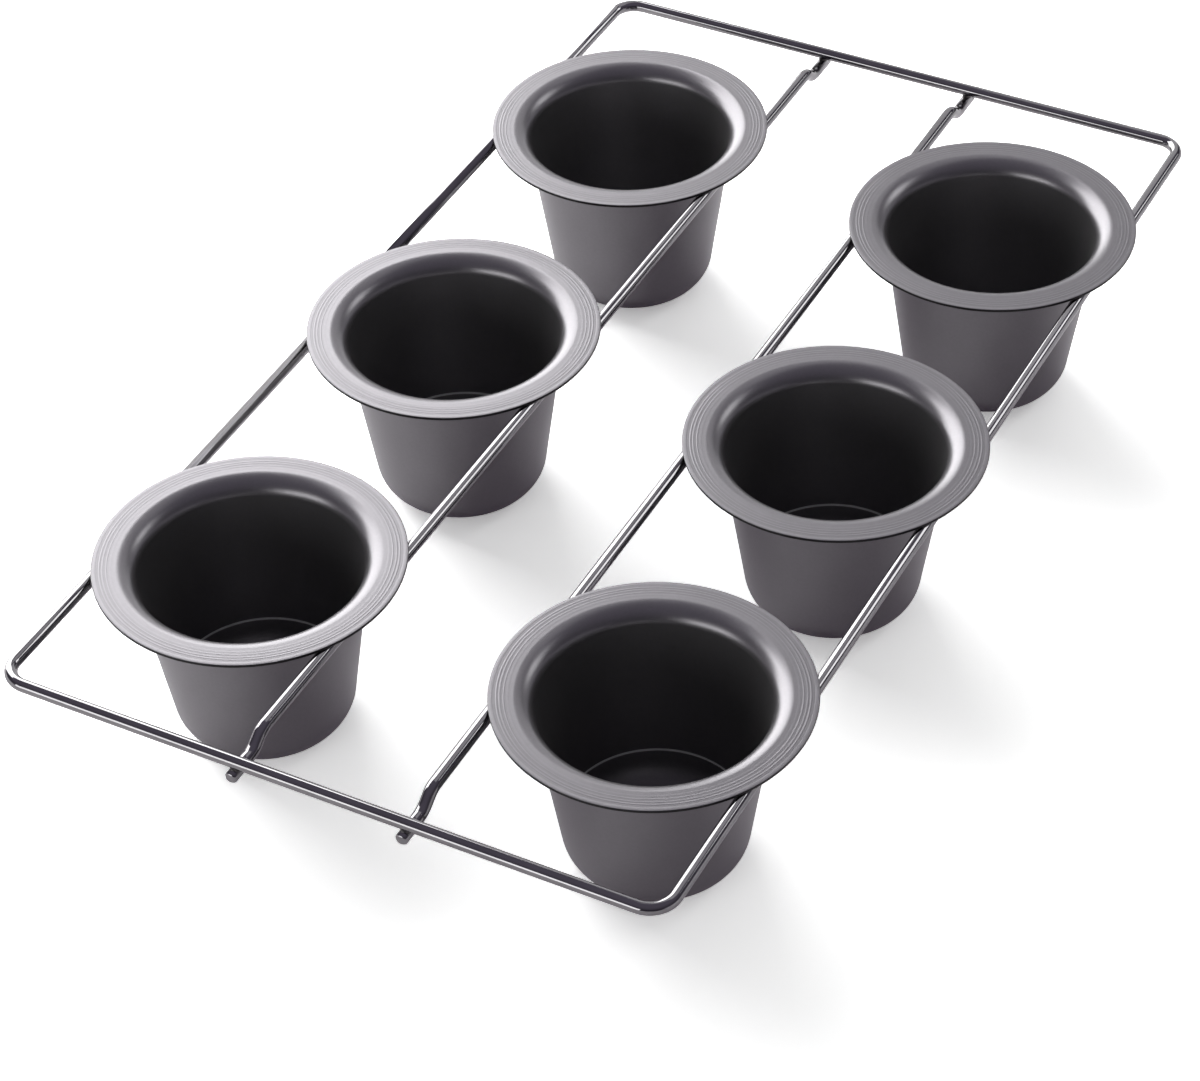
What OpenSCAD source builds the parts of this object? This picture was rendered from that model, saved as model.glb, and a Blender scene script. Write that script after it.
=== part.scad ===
// Six-cup popover pan: deep drawn steel cups hung by their rims in a welded wire frame
// Millimetres, +Z up. The origin is on the table under the middle of the pan.
// +X runs across the two rows of cups and +Y runs along a row, from front to back.

/* [Cups] */
// Height of a cup, from the table to the top of its rim
cup_h = 64; // [50:0.5:90]
// Outside diameter of the rim
rim_d = 95; // [92:0.5:110]
// Outside diameter of the wall where it would meet the top of the rim
wall_d = 72.2; // [68:0.2:77]
// Draft of the wall, in degrees from upright
wall_draft = 8.4; // [5:0.2:12]
// Thickness of the sheet steel
sheet_t = 1; // [0.6:0.1:1.2]
// Radius of the throat where the wall turns out into the rim, on the inside of the cup
throat_r = 6; // [5.5:0.25:8]
// Outside radius of the corner between the wall and the bottom
bottom_r = 12; // [6:0.5:14]

/* [Draw ring] */
// Depth of the draw ring below the top of the rim
ring_depth = 50; // [30:0.5:51]
// Width of the draw ring along the wall
ring_w = 1.4; // [0.8:0.1:2.4]
// How far the draw ring is pressed into the wall
ring_cut = 0.2; // [0.1:0.05:0.4]

/* [Layout] */
// Distance between the centre lines of the two rows
row_pitch = 135; // [125:0.5:160]
// Distance between neighbouring cups along a row
cup_pitch = 125.5; // [115:0.5:150]

/* [Wire] */
// Diameter of the wire of the frame and the rails
wire_d = 4; // [3.2:0.1:4.6]
// How far a rail's centre line lies inside the centre of the throat's bend
rail_inset = 0.45; // [0.2:0.05:0.9]
// Gap left between a rail and the underside of the throat
throat_gap = 0.1; // [0.05:0.05:0.3]

/* [Outer frame] */
// Distance from the rim of an end cup to the centre line of the end of the frame
end_gap = 26.2; // [22:0.2:40]
// Radius of the frame's corners, at the centre line of the wire
corner_r = 8; // [5:0.5:14]
// Length of the butt weld that closes the frame
butt_w = 1.2; // [0.6:0.1:2.4]

/* [Inner rails] */
// Gap between a rail and the end of the frame that it crosses under
cross_gap = 0.15; // [0.1:0.05:0.4]
// Fall of the slope that steps a rail down, for each millimetre of its run
crank_fall = 0.75; // [0.4:0.05:1]
// Radius of the bends at both ends of that slope, at the centre line of the wire
crank_r = 7; // [4:0.5:7]
// Straight length between the step and the centre line of the frame's end
crank_lead = 7; // [4:0.5:10]
// How far a rail ends beyond the centre line of the frame's end
stub_l = 3; // [2.2:0.1:8]
// Chamfer of a rail's cut end
stub_chamfer = 0.6; // [0.3:0.1:1]

/* [Welds] */
// Diameter of a spot weld between a rim and a rail
spot_d = 3; // [2:0.1:3.2]
// Diameter of the weld where a rail crosses under the frame
cross_weld_d = 3; // [2:0.1:3.2]

/* [Hidden] */

$fn = 96;

// Sides and ends as signs along X and Y, and a cup's place along its row
LEFT = -1;
RIGHT = 1;
FRONT = -1;
MID = 0;
BACK = 1;

// Radii of the wall at the top of the rim, and of the rim
wall_r = wall_d / 2;
rim_r = rim_d / 2;

// Outside radius of the wall at a height above the table
function wall_at(z) = wall_r - (cup_h - z) * tan(wall_draft);

// Centre of the throat's bend, which lies under the rim and outside the wall
throat_under_r = throat_r - sheet_t;
throat_z = cup_h - throat_r;
throat_x = wall_at(throat_z) + throat_under_r / cos(wall_draft);

// Centre of the bottom corner's bend, which lies inside the cup
corner_in_r = bottom_r - sheet_t;
corner_x = wall_at(bottom_r) - bottom_r / cos(wall_draft);

// The draw ring is the bite of a circle whose edge just reaches its depth
ring_r = (ring_w * ring_w / 4 + ring_cut * ring_cut) / (2 * ring_cut);
ring_z = cup_h - ring_depth;
ring_x = wall_at(ring_z) - sheet_t / cos(wall_draft) - (ring_r - ring_cut) / cos(wall_draft);

// Places of the rows, the rails and the ends of the frame
wire_r = wire_d / 2;
row_x = row_pitch / 2;
rail_offset = throat_x - rail_inset;
outer_rail_x = row_x + rail_offset;
inner_rail_x = row_x - rail_offset;
end_y = cup_pitch + rim_r + end_gap;

// Height of the frame: its rails lie under the rim, just clear of the underside of the throat's bend
rail_reach = throat_under_r - wire_r - throat_gap;
wire_z = throat_z + sqrt(rail_reach * rail_reach - rail_inset * rail_inset);

// The step that takes a rail's end down below the frame
crank_angle = atan(crank_fall);
crank_drop = wire_d + cross_gap;
crank_slope = (crank_drop - 2 * crank_r * (1 - cos(crank_angle))) / sin(crank_angle);
crank_run = 2 * crank_r * sin(crank_angle) + crank_slope * cos(crank_angle);
crank_y = end_y - crank_lead - crank_run;
tail_l = crank_lead + stub_l;

// A spot weld sits on its rail, under the middle of the flat part of the rim
spot_ring_r = (throat_x + rim_r) / 2;
spot_y = sqrt(spot_ring_r * spot_ring_r - rail_offset * rail_offset);

// A margin that carries cutting shapes clear of the surface that they cut
overcut = 1;

cup_colour = "#77787c";
wire_colour = "#4d4e53";
weld_colour = "#66676c";

// Cups

// Half section of a cup filled in up to one of its surfaces: the outer one or the inner one.
// lift is the height of its bottom, corner its corner radius, bend its throat radius and
// top the level at which it runs out under or over the rim
module filled_section(lift, corner, bend, top) {
    corner_z = lift + corner;
    difference() {
        union() {
            polygon([
                [0, lift],
                [corner_x, lift],
                [corner_x + corner * cos(wall_draft), corner_z - corner * sin(wall_draft)],
                [throat_x - bend * cos(wall_draft), throat_z + bend * sin(wall_draft)],
                [throat_x, throat_z + bend],
                [throat_x, top],
                [0, top]
            ]);
            intersection() {
                translate([corner_x, corner_z]) circle(r = corner);
                translate([corner_x, lift]) square(corner);
            }
        }
        translate([throat_x, throat_z]) circle(r = bend);
    }
}

// Half section of the flat part of the rim, with its edge rounded
module rim_section() {
    translate([throat_x, cup_h - sheet_t]) square([rim_r - sheet_t / 2 - throat_x, sheet_t]);
    translate([rim_r - sheet_t / 2, cup_h - sheet_t / 2]) circle(d = sheet_t);
}

// Half section of the drawn sheet
module cup_section() {
    difference() {
        filled_section(0, bottom_r, throat_under_r, cup_h);
        filled_section(sheet_t, corner_in_r, throat_r, cup_h + overcut);
        translate([ring_x, ring_z]) circle(r = ring_r);
    }
    rim_section();
}

// One drawn cup in its place in a row
module cup(side, place) {
    color(cup_colour)
        translate([side * row_x, place * cup_pitch, 0])
        rotate_extrude()
        cup_section();
}

// Wire

// A straight length of wire along +Y. What follows starts at its end
module straight(length) {
    rotate([-90, 0, 0]) cylinder(h = length, d = wire_d);
    translate([0, length, 0]) children();
}

// A bend that turns wire from +Y down towards -Z, by up to 90 degrees: the part of a ring
// about the X axis from its start to its end. What follows starts at its end
module bend_down(radius, angle) {
    reach = radius + wire_d;
    translate([0, 0, -radius]) {
        intersection() {
            rotate([0, 90, 0]) rotate_extrude() translate([radius, 0]) circle(d = wire_d);
            translate([-wire_d, 0, 0]) cube([2 * wire_d, reach, reach]);
            rotate([-angle, 0, 0]) translate([-wire_d, -reach, 0]) cube([2 * wire_d, reach, reach]);
        }
        rotate([-angle, 0, 0]) translate([0, 0, radius]) children();
    }
}

// The same bend turned up towards +Z
module bend_up(radius, angle) {
    mirror([0, 0, 1]) bend_down(radius, angle) children();
}

// The cut end of a wire, with its edge broken
module cut_end() {
    rotate([-90, 0, 0]) cylinder(h = stub_chamfer, d1 = wire_d, d2 = wire_d - 2 * stub_chamfer);
}

// Outer frame

// What is drawn at the back of the pan, and its mirror image at the front
module both_ends() {
    children();
    mirror([0, 1, 0]) children();
}

// A quarter of the frame at the back right: half an end, a corner and half a side.
// opening is the length left out at the middle of the side
module frame_quarter(opening) {
    translate([0, end_y, wire_z])
        rotate([0, 0, -90])
        straight(outer_rail_x - corner_r)
        rotate([0, -90, 0])
        bend_down(corner_r, 90)
        straight(end_y - corner_r - opening);
}

// The bent wire rectangle, open at the butt weld in its left side
module outer_frame() {
    color(wire_colour)
        both_ends() {
            frame_quarter(0);
            mirror([1, 0, 0]) frame_quarter(butt_w / 2);
        }
}

// The weld that closes the frame, dressed flush, under the rim of the middle left cup
module frame_butt_weld() {
    color(weld_colour)
        translate([-outer_rail_x, -butt_w / 2, wire_z])
        straight(butt_w);
}

// Inner rails

// A rail's end: the step down, the straight that passes under the frame and the cut end
module rail_end() {
    bend_down(crank_r, crank_angle)
        straight(crank_slope)
        bend_up(crank_r, crank_angle)
        straight(tail_l - stub_chamfer)
        cut_end();
}

// A whole rail, the same at both ends
module inner_rail(side) {
    color(wire_colour)
        translate([side * inner_rail_x, 0, wire_z])
        both_ends()
        straight(crank_y)
        rail_end();
}

// Welds

// The four spot welds of one cup, each between the rim and the wire below it
module spot_welds(side, place) {
    color(weld_colour)
        translate([side * row_x, place * cup_pitch, wire_z])
        for (rail = [-rail_offset, rail_offset], along = [-spot_y, spot_y])
            translate([rail, along, 0])
            difference() {
                cylinder(h = cup_h - sheet_t - wire_z, d = spot_d);
                translate([0, -spot_d, 0]) straight(2 * spot_d);
            }
}

// The weld between a rail's end and the end of the frame above it
module rail_end_weld(side, end) {
    color(weld_colour)
        translate([side * inner_rail_x, end * end_y, wire_z])
        difference() {
            translate([0, 0, -crank_drop]) cylinder(h = crank_drop, d = cross_weld_d);
            translate([-cross_weld_d, 0, 0]) rotate([0, 0, -90]) straight(2 * cross_weld_d);
            translate([0, -cross_weld_d, -crank_drop]) straight(2 * cross_weld_d);
        }
}

cup(LEFT, FRONT);  // cup_front_left
cup(LEFT, MID);  // cup_mid_left
cup(LEFT, BACK);  // cup_back_left
cup(RIGHT, FRONT);  // cup_front_right
cup(RIGHT, MID);  // cup_mid_right
cup(RIGHT, BACK);  // cup_back_right
spot_welds(LEFT, FRONT);  // spot_welds_front_left
spot_welds(LEFT, MID);  // spot_welds_mid_left
spot_welds(LEFT, BACK);  // spot_welds_back_left
spot_welds(RIGHT, FRONT);  // spot_welds_front_right
spot_welds(RIGHT, MID);  // spot_welds_mid_right
spot_welds(RIGHT, BACK);  // spot_welds_back_right
outer_frame();
frame_butt_weld();
inner_rail(LEFT);  // inner_rail_left
inner_rail(RIGHT);  // inner_rail_right
rail_end_weld(LEFT, FRONT);  // rail_end_weld_front_left
rail_end_weld(RIGHT, FRONT);  // rail_end_weld_front_right
rail_end_weld(LEFT, BACK);  // rail_end_weld_back_left
rail_end_weld(RIGHT, BACK);  // rail_end_weld_back_right
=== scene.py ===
# A popover pan: deep drawn steel cups hung by their rims in a welded wire frame.
# Metres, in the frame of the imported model: the table is at z = 0, +Y runs from front to back.
import math

import bmesh
import bpy
from mathutils import Matrix, Vector


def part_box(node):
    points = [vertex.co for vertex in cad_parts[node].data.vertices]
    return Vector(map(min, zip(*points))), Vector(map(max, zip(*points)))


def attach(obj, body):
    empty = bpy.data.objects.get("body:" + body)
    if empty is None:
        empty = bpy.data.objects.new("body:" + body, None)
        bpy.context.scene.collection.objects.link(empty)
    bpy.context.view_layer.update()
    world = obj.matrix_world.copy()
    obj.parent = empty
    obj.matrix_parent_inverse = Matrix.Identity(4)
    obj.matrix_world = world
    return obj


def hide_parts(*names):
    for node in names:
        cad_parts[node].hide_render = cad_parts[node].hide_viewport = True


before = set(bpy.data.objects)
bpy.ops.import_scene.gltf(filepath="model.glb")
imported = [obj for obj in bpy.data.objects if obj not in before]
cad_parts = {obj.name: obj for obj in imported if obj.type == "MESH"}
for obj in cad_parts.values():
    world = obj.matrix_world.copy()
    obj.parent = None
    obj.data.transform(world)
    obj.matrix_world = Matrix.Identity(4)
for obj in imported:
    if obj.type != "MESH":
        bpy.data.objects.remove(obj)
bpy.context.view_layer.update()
MM = 0.001


# Camera
# The photograph's view: from the front right and above, from just over a metre away, and turned
# a little about its own line of sight.
AIM = Vector((23.53, -73.50, 64.0)) * MM
CAMERA_AZIMUTH = math.radians(28.544)
CAMERA_ELEVATION = math.radians(40.997)
CAMERA_ROLL = math.radians(1.933)
CAMERA_DISTANCE = 1059.3 * MM
LENS_MM = 106.17
SENSOR_MM = 36.0

to_camera = Vector((
    math.sin(CAMERA_AZIMUTH) * math.cos(CAMERA_ELEVATION),
    -math.cos(CAMERA_AZIMUTH) * math.cos(CAMERA_ELEVATION),
    math.sin(CAMERA_ELEVATION),
))
camera_data = bpy.data.cameras.new("camera")
camera_data.lens = LENS_MM
camera_data.sensor_width = SENSOR_MM
camera_data.clip_start = 0.05
camera_data.clip_end = 60.0
camera = bpy.data.objects.new("camera", camera_data)
bpy.context.scene.collection.objects.link(camera)
camera.rotation_mode = "QUATERNION"
level = (-to_camera).to_track_quat("-Z", "Y")
roll = Matrix.Rotation(-CAMERA_ROLL, 3, to_camera).to_quaternion()
camera.rotation_quaternion = roll @ level
camera.location = AIM + to_camera * CAMERA_DISTANCE
bpy.context.scene.camera = camera


# Cups
# Each cup is drawn from one disc of sheet steel: a flat rim, a rounded throat, a tapered wall with
# a draw ring near its foot, and a flat bottom with a rounded corner. The sheet has a satin grey
# release coating, and the rim shows the fine rings of its spinning and trimming.
SHEET = 1.0 * MM
THROAT_RADIUS = 6.0 * MM
CORNER_RADIUS = 12.0 * MM
WALL_DRAFT = math.radians(8.4)
WALL_TOP_RADIUS = 36.1 * MM
DRAW_RING_DEPTH = 50.0 * MM
DRAW_RING_WIDTH = 1.4 * MM
DRAW_RING_CUT = 0.2 * MM
DRAW_RING_BED = 0.3
EDGE_RADIUS = 0.25 * MM
SPIN_STEPS = 192
CORNER_STEPS = 14
THROAT_STEPS = 20
EDGE_STEPS = 4
MERGE_DISTANCE = 0.002 * MM

COATING_GREY = (0.205, 0.199, 0.208)
COATING_TONES = (0.82, 1.18)
COATING_METALLIC = 0.83
COATING_ROUGHNESS = 0.30
COATING_RELIEF = 0.03 * MM
CLOUD_WAVES = 0.03
CLOUD_TONE = 0.5
CLOUD_ROUGHNESS = 0.06
GRAIN_WAVES = 1.1
GRAIN_TONE = 0.35
GRAIN_RELIEF = 0.08
# Painted shade round the foot and on the bottom inside, where the coating is also rougher.
FOOT_PAINTED_SHADE = 0.4
FOOT_ROUGHNESS = 0.35
# A painted highlight along the draw ring on the inner wall: paler and less metallic.
RING_HIGHLIGHT_GREY = (0.68, 0.68, 0.69, 1.0)
RING_HIGHLIGHT_INNER = 0.25 * MM
RING_HIGHLIGHT_OUTER = 0.55 * MM
RING_HIGHLIGHT_SIDE_FADE = 0.2 * MM
RING_HIGHLIGHT_METALLIC_LOSS = 0.6
# A near-black line of painted shade on the rim's outer edge.
EDGE_SHADE_GREY = (0.02, 0.02, 0.02, 1.0)
EDGE_SHADE_WIDTH = 0.12 * MM
RIM_FACE_DEPTH = 0.6 * MM
RING_BAND = 7.0 * MM
RING_PITCH = 1.3 * MM
RING_WANDER = 5.0
RING_WANDER_WAVES = 0.3
RING_GROOVE_END = -0.2
RING_MEAN = 0.35
RING_TONE = 0.6
RING_RELIEF = 0.8
FINE_RING_WAVES = 2.2
FINE_RING_TONE = 1.2
FINE_RING_ROUGHNESS = 0.06


class Socket:
    """One output socket of a node tree, so that shader sums are written as Python."""

    def __init__(self, tree, link):
        self.tree = tree
        self.link = link

    def node(self, kind, *inputs, out=0, named=None, **settings):
        """A node with its settings made first, and then its inputs filled by place or by name."""
        made = self.tree.nodes.new(kind)
        for name, value in settings.items():
            setattr(made, name, value)
        for place, value in [*enumerate(inputs), *(named or {}).items()]:
            if isinstance(value, Socket):
                self.tree.links.new(value.link, made.inputs[place])
            else:
                made.inputs[place].default_value = value
        return Socket(self.tree, made.outputs[out])

    def maths(self, operation, *others):
        return self.node("ShaderNodeMath", self, *others, operation=operation)

    def __add__(self, other):
        return self.maths("ADD", other)

    def __radd__(self, other):
        return self.maths("ADD", other)

    def __sub__(self, other):
        return self.maths("SUBTRACT", other)

    def __rsub__(self, other):
        return self.node("ShaderNodeMath", other, self, operation="SUBTRACT")

    def __mul__(self, other):
        return self.maths("MULTIPLY", other)

    def __rmul__(self, other):
        return self.maths("MULTIPLY", other)

    def __truediv__(self, other):
        return self.maths("DIVIDE", other)

    def axes(self):
        """The x, y and z of a vector."""
        x = self.node("ShaderNodeSeparateXYZ", self)
        outputs = x.link.node.outputs
        return x, Socket(self.tree, outputs[1]), Socket(self.tree, outputs[2])

    def step(self, low, high):
        """0 below low, 1 above high, and smooth between them."""
        return self.node("ShaderNodeMapRange", self, low, high, 0.0, 1.0, interpolation_type="SMOOTHSTEP")

    def noise(self, waves, detail):
        """Noise around 0.5 over a place, with so many waves to the millimetre."""
        inputs = {"Vector": self, "Scale": waves / MM, "Detail": detail}
        return self.node("ShaderNodeTexNoise", named=inputs)

    def noise_along(self, waves, detail):
        """Noise around 0.5 along one length, with so many waves to the millimetre."""
        inputs = {"W": self / MM, "Scale": waves, "Detail": detail}
        return self.node("ShaderNodeTexNoise", named=inputs, noise_dimensions="1D")

    def relief(self, depth, strength=1.0):
        """The normal of a surface that rises by depth where this goes from 0 to 1."""
        return self.node("ShaderNodeBump", named={"Strength": strength, "Distance": depth, "Height": self})

    def blend(self, first, second):
        """The first colour where this is 0, and the second where it is 1."""
        return self.node("ShaderNodeMix", data_type="RGBA", out=2, named={0: self, 6: first, 7: second})

    def shade(self, colour, low, high):
        """The colour at low times its level where this is 0, and at high times it where this is 1."""
        dark = tuple(low * c for c in colour) + (1.0,)
        pale = tuple(high * c for c in colour) + (1.0,)
        return self.blend(dark, pale)


def new_material(name):
    """A material with one Principled shader, and a Socket that holds Object coordinates."""
    material = bpy.data.materials.new(name)
    material.use_nodes = True
    tree = material.node_tree
    coordinates = tree.nodes.new("ShaderNodeTexCoord")
    return material, tree.nodes["Principled BSDF"], Socket(tree, coordinates.outputs["Object"])


def drive(shader, name, socket):
    socket.tree.links.new(socket.link, shader.inputs[name])


def link_mesh(name, mesh):
    """Puts a finished mesh into the scene as an object of its own."""
    data = bpy.data.meshes.new(name)
    mesh.to_mesh(data)
    mesh.free()
    made = bpy.data.objects.new(name, data)
    bpy.context.scene.collection.objects.link(made)
    return made


def satin_coating(name, centre, rim_top, rim_radius):
    """The satin coating, with the rim's rings centred on one cup's axis. A paler, less metallic band
    along the draw ring is a painted highlight; round the foot the coating is duller and darkened by
    painted shade; and the rim's outer edge is a near-black line of painted shade."""
    ring = rim_top - DRAW_RING_DEPTH
    wall_middle = WALL_TOP_RADIUS - DRAW_RING_DEPTH * math.tan(WALL_DRAFT) - SHEET / 2
    material, shader, place = new_material(name)
    local = place.node("ShaderNodeMapping", named={"Vector": place, "Location": -centre})
    x, y, z = local.axes()
    radius = (x * x + y * y).maths("SQRT")
    on_top = z.step(rim_top - RIM_FACE_DEPTH, rim_top - RIM_FACE_DEPTH / 2)
    in_band = on_top * radius.step(rim_radius - RING_BAND, rim_radius - RING_BAND / 2)
    wander = radius.noise_along(RING_WANDER_WAVES, detail=1.0) * RING_WANDER
    turned = (radius / RING_PITCH * (2 * math.pi) + wander).maths("SINE").step(RING_GROOVE_END, 1.0)
    fine = radius.noise_along(FINE_RING_WAVES, detail=2.0)
    grain = local.noise(GRAIN_WAVES, detail=3.0)
    clouds = local.noise(CLOUD_WAVES, detail=3.0)
    # Painted shade: the coating is darker round the foot and on the bottom inside; it is also rougher
    # there.
    foot = 1.0 - z.step(0.0, CORNER_RADIUS)
    streaks = (turned - RING_MEAN) * RING_TONE + (fine - 0.5) * FINE_RING_TONE
    tone = 0.5 + (clouds - 0.5) * CLOUD_TONE + (grain - 0.5) * GRAIN_TONE
    tone = tone + in_band * streaks - foot * FOOT_PAINTED_SHADE
    # Painted highlight: a paler, less metallic band along the draw ring on the inner wall.
    ring_start = z.step(ring - RING_HIGHLIGHT_OUTER, ring - RING_HIGHLIGHT_INNER)
    ring_end = z.step(ring + RING_HIGHLIGHT_INNER, ring + RING_HIGHLIGHT_OUTER)
    inside = 1.0 - radius.step(wall_middle, wall_middle + RING_HIGHLIGHT_SIDE_FADE)
    painted_ring_highlight = (ring_start - ring_end) * inside
    # Painted shade: the rim's outer edge is painted near-black.
    painted_edge_shade = radius.step(rim_radius - EDGE_SHADE_WIDTH, rim_radius - EDGE_SHADE_WIDTH / 3)
    grey = painted_edge_shade.blend(tone.shade(COATING_GREY, *COATING_TONES), EDGE_SHADE_GREY)
    drive(shader, "Base Color", painted_ring_highlight.blend(grey, RING_HIGHLIGHT_GREY))
    drive(shader, "Metallic", COATING_METALLIC - painted_ring_highlight * RING_HIGHLIGHT_METALLIC_LOSS)
    roughness = COATING_ROUGHNESS + clouds * CLOUD_ROUGHNESS + in_band * fine * FINE_RING_ROUGHNESS
    drive(shader, "Roughness", roughness + foot * FOOT_ROUGHNESS)
    height = in_band * (turned * RING_RELIEF + fine) + grain * GRAIN_RELIEF
    drive(shader, "Normal", height.relief(COATING_RELIEF))
    return material


def round_corner(mesh, point, turn, radius, segments):
    """Rounds one point of a half section, given the angle that the section turns there."""
    bmesh.ops.bevel(
        mesh, geom=[point], offset=radius * math.tan(turn / 2), offset_type="OFFSET", segments=segments,
        profile=0.5, affect="VERTICES", material=-1,
    )


def draw_cup(name, centre, rim_top, rim_radius):
    """Spins the closed half section of the sheet, from under the bottom round to its upper side."""
    slope = math.tan(WALL_DRAFT)

    def outer_wall(height):
        return WALL_TOP_RADIUS - (rim_top - height) * slope

    def inner_wall(height):
        return outer_wall(height) - SHEET / math.cos(WALL_DRAFT)

    ring = rim_top - DRAW_RING_DEPTH
    lip = DRAW_RING_WIDTH / 2
    bed = lip * DRAW_RING_BED
    mesh = bmesh.new()
    section = [
        mesh.verts.new((radius, 0.0, height))
        for radius, height in (
            (0.0, 0.0),
            (outer_wall(0.0), 0.0),
            (outer_wall(rim_top - SHEET), rim_top - SHEET),
            (rim_radius, rim_top - SHEET),
            (rim_radius, rim_top),
            (inner_wall(rim_top), rim_top),
            (inner_wall(ring + lip), ring + lip),
            (inner_wall(ring + bed) + DRAW_RING_CUT, ring + bed),
            (inner_wall(ring - bed) + DRAW_RING_CUT, ring - bed),
            (inner_wall(ring - lip), ring - lip),
            (inner_wall(SHEET), SHEET),
            (0.0, SHEET),
        )
    ]
    for first, second in zip(section, section[1:]):
        mesh.edges.new((first, second))
    outer_foot, outer_throat, lower_edge, upper_edge, inner_throat = section[1:6]
    inner_foot = section[-2]
    turn = math.pi / 2 - WALL_DRAFT
    round_corner(mesh, outer_foot, turn, CORNER_RADIUS, CORNER_STEPS)
    round_corner(mesh, outer_throat, turn, THROAT_RADIUS - SHEET, CORNER_STEPS)
    round_corner(mesh, lower_edge, math.pi / 2, EDGE_RADIUS, EDGE_STEPS)
    round_corner(mesh, upper_edge, math.pi / 2, EDGE_RADIUS, EDGE_STEPS)
    round_corner(mesh, inner_throat, turn, THROAT_RADIUS, THROAT_STEPS)
    round_corner(mesh, inner_foot, turn, CORNER_RADIUS - SHEET, CORNER_STEPS)
    bmesh.ops.spin(
        mesh, geom=mesh.verts[:] + mesh.edges[:], cent=(0, 0, 0), axis=(0, 0, 1), dvec=(0, 0, 0),
        angle=2 * math.pi, steps=SPIN_STEPS, use_merge=True,
    )
    bmesh.ops.remove_doubles(mesh, verts=mesh.verts, dist=MERGE_DISTANCE)
    bmesh.ops.recalc_face_normals(mesh, faces=mesh.faces)
    for face in mesh.faces:
        face.smooth = True
    bmesh.ops.translate(mesh, verts=mesh.verts, vec=centre)
    cup = link_mesh(name, mesh)
    even_shading = cup.modifiers.new("even_shading", "WEIGHTED_NORMAL")
    even_shading.weight = 100
    return cup


for place in ("front", "mid", "back"):
    for side in ("left", "right"):
        node = f"cup_{place}_{side}"
        low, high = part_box(node)
        centre = Vector(((low.x + high.x) / 2, (low.y + high.y) / 2, 0.0))
        rim_radius = (high.y - low.y) / 2
        cup = draw_cup(f"drawn_cup_{place}_{side}", centre, high.z, rim_radius)
        coating = satin_coating(f"satin_coating_{place}_{side}", centre, high.z, rim_radius)
        cup.data.materials.append(coating)
        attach(cup, "root")
        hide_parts(node)


# Frame and rails
# One length of bright-plated wire is bent to a rectangle and butt welded. Two more rails of the
# same wire run under the inner sides of the rims, step down near each end and pass under the frame.
WIRE_DIAMETER = 4.0 * MM
FRAME_CORNER_RADIUS = 8.0 * MM
CRANK_FALL = 0.75
CRANK_RADIUS = 7.0 * MM
CRANK_LEAD = 7.0 * MM
CROSS_GAP = 0.15 * MM
BUTT_WELD_LENGTH = 1.2 * MM
STUB_CHAMFER = 0.6 * MM
WIRE_SIDES = 40
BEND_STEPS = 18

PLATING_GREY = (0.245, 0.241, 0.246)
PLATING_TONES = (0.92, 1.08)
PLATING_CLOUD_WAVES = 0.06
PLATING_CLOUD_RANGE = (0.3, 0.7)
PLATING_ROUGHNESS = 0.06
PLATING_CLOUD_ROUGHNESS = 0.05
PLATING_GRAIN_WAVES = 0.8
PLATING_RELIEF = 0.01 * MM
PLATING_RELIEF_STRENGTH = 0.1


class Wire:
    """A bent wire: a ring of edges drawn forward and turned, one stretch after another."""

    def __init__(self, start, heading, up):
        self.mesh = bmesh.new()
        self.centre = Vector(start)
        self.heading = Vector(heading).normalized()
        side = up.cross(self.heading)
        turn = Matrix((side, up, self.heading)).transposed().to_4x4()
        made = bmesh.ops.create_circle(
            self.mesh, segments=WIRE_SIDES, radius=WIRE_DIAMETER / 2,
            matrix=Matrix.Translation(self.centre) @ turn,
        )
        self.ring = list({edge for vert in made["verts"] for edge in vert.link_edges})
        self.first = list(self.ring)

    def ring_points(self):
        return list({vert for edge in self.ring for vert in edge.verts})

    def narrow(self, share):
        """Brings the newest ring to this share of its width, where a cut end is chamfered."""
        about = Matrix.Translation(-self.centre)
        bmesh.ops.scale(self.mesh, verts=self.ring_points(), vec=(share,) * 3, space=about)
        return self

    def straight(self, length):
        """Draws the wire forward."""
        made = bmesh.ops.extrude_edge_only(self.mesh, edges=self.ring)
        self.ring = [part for part in made["geom"] if isinstance(part, bmesh.types.BMEdge)]
        self.centre = self.centre + self.heading * length
        bmesh.ops.translate(self.mesh, verts=self.ring_points(), vec=self.heading * length)
        return self

    def bend(self, radius, angle, towards):
        """Turns the wire about a centre that lies radius away in the direction towards."""
        towards = Vector(towards).normalized()
        axis = self.heading.cross(towards).normalized()
        pivot = self.centre + towards * radius
        made = bmesh.ops.spin(
            self.mesh, geom=self.ring, cent=pivot, axis=axis, dvec=(0, 0, 0), angle=angle,
            steps=BEND_STEPS, use_merge=False,
        )
        self.ring = [part for part in made["geom_last"] if isinstance(part, bmesh.types.BMEdge)]
        turn = Matrix.Rotation(angle, 3, axis)
        self.centre = pivot + turn @ (self.centre - pivot)
        self.heading = turn @ self.heading
        return self

    def finish(self, name):
        """Closes both cut ends and puts the wire into the scene."""
        for ring in (self.first, self.ring):
            bmesh.ops.contextual_create(self.mesh, geom=ring)
        bmesh.ops.remove_doubles(self.mesh, verts=self.mesh.verts, dist=MERGE_DISTANCE)
        bmesh.ops.recalc_face_normals(self.mesh, faces=self.mesh.faces)
        for face in self.mesh.faces:
            face.smooth = len(face.verts) == 4
        return link_mesh(name, self.mesh)


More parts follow.
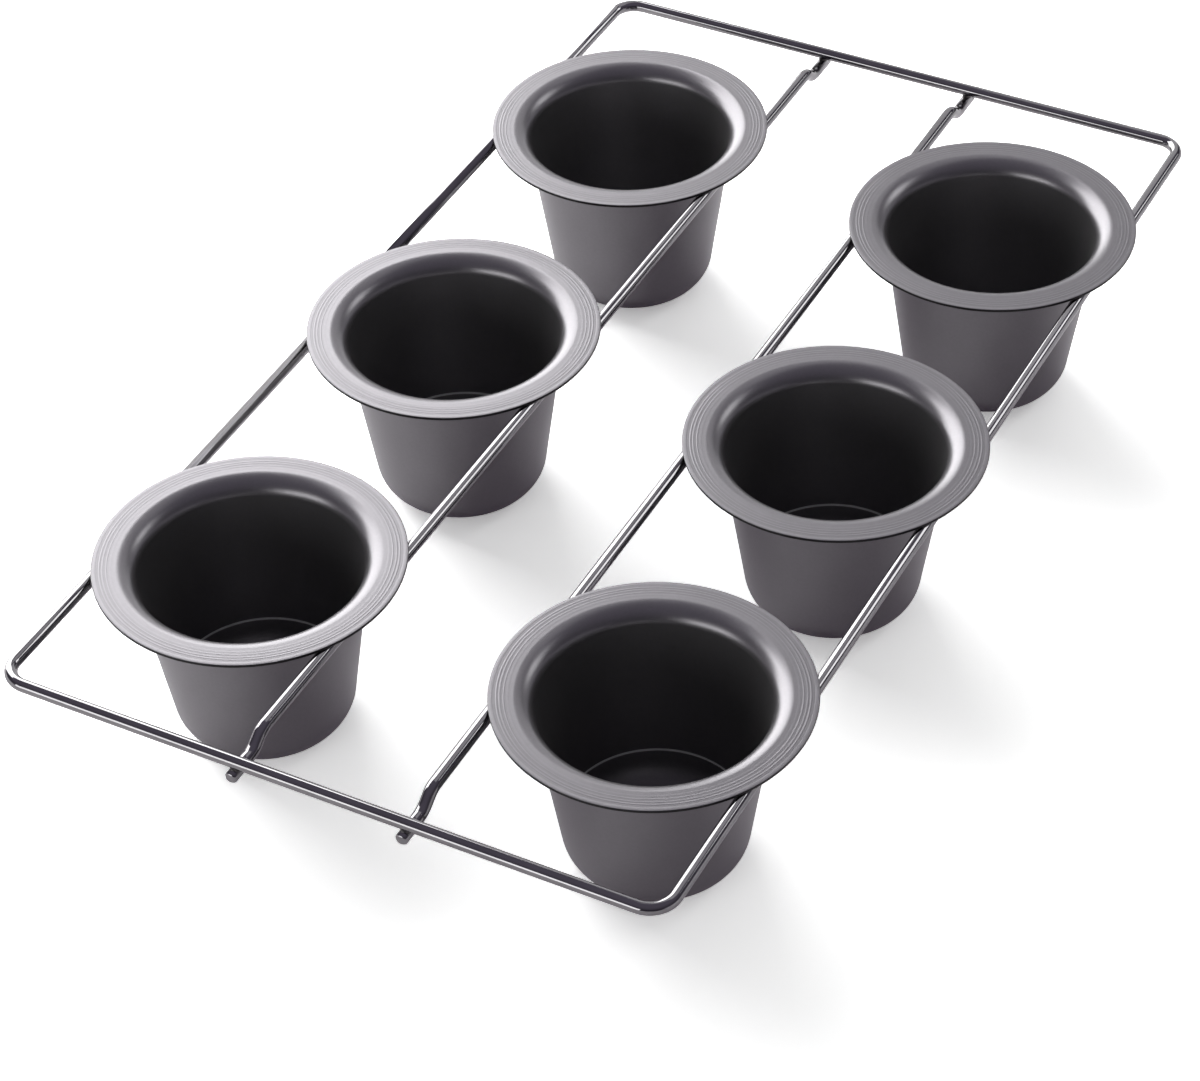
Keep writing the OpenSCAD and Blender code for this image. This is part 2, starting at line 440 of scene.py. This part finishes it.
def plated_wire():
    """Dark bright plating with faint clouds and a fine grain."""
    material, shader, place = new_material("bright_plating")
    shader.inputs["Metallic"].default_value = 1.0
    clouds = place.noise(PLATING_CLOUD_WAVES, detail=3.0)
    grain = place.noise(PLATING_GRAIN_WAVES, detail=2.0)
    drive(shader, "Base Color", clouds.step(*PLATING_CLOUD_RANGE).shade(PLATING_GREY, *PLATING_TONES))
    drive(shader, "Roughness", PLATING_ROUGHNESS + clouds * PLATING_CLOUD_ROUGHNESS)
    drive(shader, "Normal", grain.relief(PLATING_RELIEF, PLATING_RELIEF_STRENGTH))
    return material


plating = plated_wire()
frame_low, frame_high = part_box("outer_frame")
wire_height = (frame_low.z + frame_high.z) / 2
side_x = frame_high.x - WIRE_DIAMETER / 2
end_y = frame_high.y - WIRE_DIAMETER / 2
half_side = end_y - FRAME_CORNER_RADIUS
half_end = side_x - FRAME_CORNER_RADIUS
UP = Vector((0, 0, 1))
DOWN = Vector((0, 0, -1))
RIGHT = Vector((1, 0, 0))
LEFT = Vector((-1, 0, 0))
BACK = Vector((0, 1, 0))
FRONT = Vector((0, -1, 0))
QUARTER_TURN = math.pi / 2

outer = Wire((-side_x, BUTT_WELD_LENGTH / 2, wire_height), BACK, UP)
outer.straight(half_side - BUTT_WELD_LENGTH / 2)
outer.bend(FRAME_CORNER_RADIUS, QUARTER_TURN, RIGHT).straight(2 * half_end)
outer.bend(FRAME_CORNER_RADIUS, QUARTER_TURN, FRONT).straight(2 * half_side)
outer.bend(FRAME_CORNER_RADIUS, QUARTER_TURN, LEFT).straight(2 * half_end)
outer.bend(FRAME_CORNER_RADIUS, QUARTER_TURN, BACK).straight(half_side - BUTT_WELD_LENGTH / 2)
bent_frame = outer.finish("bent_wire_frame")
bent_frame.data.materials.append(plating)
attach(bent_frame, "root")
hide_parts("outer_frame")

crank_angle = math.atan(CRANK_FALL)
drop = WIRE_DIAMETER + CROSS_GAP
slope = (drop - 2 * CRANK_RADIUS * (1 - math.cos(crank_angle))) / math.sin(crank_angle)
run = 2 * CRANK_RADIUS * math.sin(crank_angle) + slope * math.cos(crank_angle)
crank_y = end_y - CRANK_LEAD - run
chamfer_share = 1 - 2 * STUB_CHAMFER / WIRE_DIAMETER

for side in ("left", "right"):
    node = f"inner_rail_{side}"
    low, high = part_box(node)
    tail = high.y - STUB_CHAMFER - (end_y - CRANK_LEAD)
    rail = Wire(((low.x + high.x) / 2, low.y, wire_height - drop), BACK, UP)
    rail.narrow(chamfer_share).straight(STUB_CHAMFER).narrow(1 / chamfer_share)
    rail.straight(tail)
    rail.bend(CRANK_RADIUS, crank_angle, UP)
    rail.straight(slope)
    rail.bend(CRANK_RADIUS, crank_angle, rail.heading.cross(RIGHT))
    rail.straight(2 * crank_y)
    rail.bend(CRANK_RADIUS, crank_angle, DOWN)
    rail.straight(slope)
    rail.bend(CRANK_RADIUS, crank_angle, RIGHT.cross(rail.heading))
    rail.straight(tail)
    rail.straight(STUB_CHAMFER).narrow(chamfer_share)
    cranked_rail = rail.finish(f"cranked_rail_{side}")
    cranked_rail.data.materials.append(plating)
    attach(cranked_rail, "root")
    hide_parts(node)


# Welds
# Spot welds hold each rim to the wires under it and each rail end to the frame, and a butt weld
# closes the frame. They are small nuggets of steel, darkened by heat.
WELD_GREY = (0.105, 0.100, 0.098)
WELD_TONES = (0.55, 1.3)
WELD_WAVES = 0.9
WELD_MOTTLE_RANGE = (0.35, 0.65)
WELD_ROUGHNESS = 0.28
WELD_MOTTLE_ROUGHNESS = 0.25
WELD_RELIEF = 0.08 * MM
WELD_RELIEF_STRENGTH = 0.4


def weld_metal():
    """Steel mottled by the heat of its weld, with a slightly uneven surface."""
    material, shader, place = new_material("heat_darkened_weld")
    shader.inputs["Metallic"].default_value = 1.0
    mottle = place.noise(WELD_WAVES, detail=4.0)
    drive(shader, "Base Color", mottle.step(*WELD_MOTTLE_RANGE).shade(WELD_GREY, *WELD_TONES))
    drive(shader, "Roughness", WELD_ROUGHNESS + mottle * WELD_MOTTLE_ROUGHNESS)
    drive(shader, "Normal", mottle.relief(WELD_RELIEF, WELD_RELIEF_STRENGTH))
    return material


weld_finish = weld_metal()
for name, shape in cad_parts.items():
    if "weld" in name:
        shape.data.materials.clear()
        shape.data.materials.append(weld_finish)


# Floor, light and background
# A pale floor that the camera sees as white with light shadows, five soft lamps that metal mirrors
# and one that it doesn't, and a room that metal sees white at its horizon and dim above.
FLOOR_SIZE = 14.0
FLOOR_ROUGHNESS = 0.9
FLOOR_WHITE = (0.93, 0.93, 0.93, 1.0)
FLOOR_SEEN = (1.88, 1.88, 1.88, 1.0)
FLOOR_GLOW_SHARE = 0.15
FLOOR_GLOW_STRENGTH = 2.0
FLOOR_TINT = (0.30, 0.02, 0.36, 1.0)
FLOOR_TINT_SHARE = 0.1
WHITE = (1.0, 1.0, 1.0, 1.0)

floor_mesh = bmesh.new()
bmesh.ops.create_grid(floor_mesh, x_segments=1, y_segments=1, size=FLOOR_SIZE / 2)
floor = link_mesh("pale_floor", floor_mesh)
floor_material, floor_shader, floor_place = new_material("pale_floor")
floor_shader.inputs["Roughness"].default_value = FLOOR_ROUGHNESS
floor_shader.inputs["Specular IOR Level"].default_value = 0.0
in_camera = floor_place.node("ShaderNodeLightPath")
in_metal = Socket(floor_place.tree, in_camera.link.node.outputs["Is Glossy Ray"])
# For camera rays alone the floor is brighter and glows a little, so that it reads as white, and
# metal sees a faint violet in it.
drive(floor_shader, "Base Color", in_camera.blend(FLOOR_WHITE, FLOOR_SEEN))
lit = Socket(floor_place.tree, floor_shader.outputs["BSDF"])
glow = lit.node("ShaderNodeEmission", named={"Color": WHITE, "Strength": FLOOR_GLOW_STRENGTH})
tint = lit.node("ShaderNodeEmission", named={"Color": FLOOR_TINT})
bright_floor = lit.node(
    "ShaderNodeMixShader", named={0: in_camera * FLOOR_GLOW_SHARE, 1: lit, 2: glow}
)
whole_floor = lit.node(
    "ShaderNodeMixShader", named={0: in_metal * FLOOR_TINT_SHARE, 1: bright_floor, 2: tint}
)
drive(floor_place.tree.nodes["Material Output"], "Surface", whole_floor)
floor.data.materials.append(floor_material)


def soft_light(name, azimuth, elevation, distance, width, height, radiance, in_metal=True):
    """A rectangular soft light that faces the pan, and that metal mirrors or doesn't. Its azimuth
    is from +Y towards -X."""
    turn = math.radians(azimuth)
    rise = math.radians(elevation)
    away = Vector((-math.sin(turn) * math.cos(rise), math.cos(turn) * math.cos(rise), math.sin(rise)))
    lamp = bpy.data.lights.new(name, "AREA")
    lamp.shape = "RECTANGLE"
    lamp.size = width
    lamp.size_y = height
    lamp.energy = radiance * math.pi * width * height
    holder = bpy.data.objects.new(name, lamp)
    bpy.context.scene.collection.objects.link(holder)
    holder.location = away * distance
    holder.rotation_mode = "QUATERNION"
    holder.rotation_quaternion = away.to_track_quat("Z", "Y")
    holder.visible_glossy = in_metal


soft_light(
    "back_left_softbox", azimuth=61.2, elevation=24.0, distance=1.6, width=1.50, height=1.56,
    radiance=5.0,
)
soft_light(
    "back_panel", azimuth=15.0, elevation=20.0, distance=1.6, width=1.10, height=1.50,
    radiance=0.80,
)
soft_light(
    "back_upper_panel", azimuth=-5.0, elevation=60.0, distance=1.6, width=1.00, height=0.60,
    radiance=0.55,
)
soft_light(
    "back_right_softbox", azimuth=-38.0, elevation=32.0, distance=1.6, width=0.55, height=0.55,
    radiance=3.2,
)
soft_light(
    "front_left_strip", azimuth=160.0, elevation=11.0, distance=1.8, width=1.4, height=0.6,
    radiance=3.0,
)
soft_light(
    "floor_light", azimuth=66.0, elevation=42.0, distance=5.0, width=4.0, height=4.0,
    radiance=1.3, in_metal=False,
)

ROOM_DARK = 0.07
ROOM_TOP = 0.22
ROOM_TOP_RISE = (0.15, 0.95)
ROOM_LOW = 1.0
ROOM_HORIZON = math.sin(math.radians(14))
ROOM_FRONT = (0.65, 0.9)
ROOM_SOFT = 0.26
ROOM_TINT = (0.98, 0.88, 1.15, 1.0)

world = bpy.data.worlds.new("white_room")
bpy.context.scene.world = world
world.use_nodes = True
world_tree = world.node_tree
backdrop = world_tree.nodes["Background"]
direction = Socket(world_tree, world_tree.nodes.new("ShaderNodeTexCoord").outputs["Generated"])
rays = world_tree.nodes.new("ShaderNodeLightPath")
camera_ray = Socket(world_tree, rays.outputs["Is Camera Ray"])
glossy_ray = Socket(world_tree, rays.outputs["Is Glossy Ray"])
glass_ray = Socket(world_tree, rays.outputs["Is Transmission Ray"])
across, along, height = direction.axes()
# The white horizon has a gap behind the camera, where the room is dark.
facing = across * math.sin(CAMERA_AZIMUTH) - along * math.cos(CAMERA_AZIMUTH)
horizon = (1.0 - height.step(0.0, ROOM_HORIZON)) * (1.0 - facing.step(*ROOM_FRONT))
ceiling = ROOM_DARK + height.step(*ROOM_TOP_RISE) * (ROOM_TOP - ROOM_DARK)
room = ceiling + horizon * (ROOM_LOW - ROOM_DARK)
white = camera_ray.maths("MAXIMUM", glass_ray)
strength = white + (1.0 - white) * (glossy_ray * room + (1.0 - glossy_ray) * ROOM_SOFT)
drive(backdrop, "Strength", strength)
drive(backdrop, "Color", (glossy_ray * (1.0 - horizon)).blend(WHITE, ROOM_TINT))

bpy.context.scene.view_settings.view_transform = "Standard"
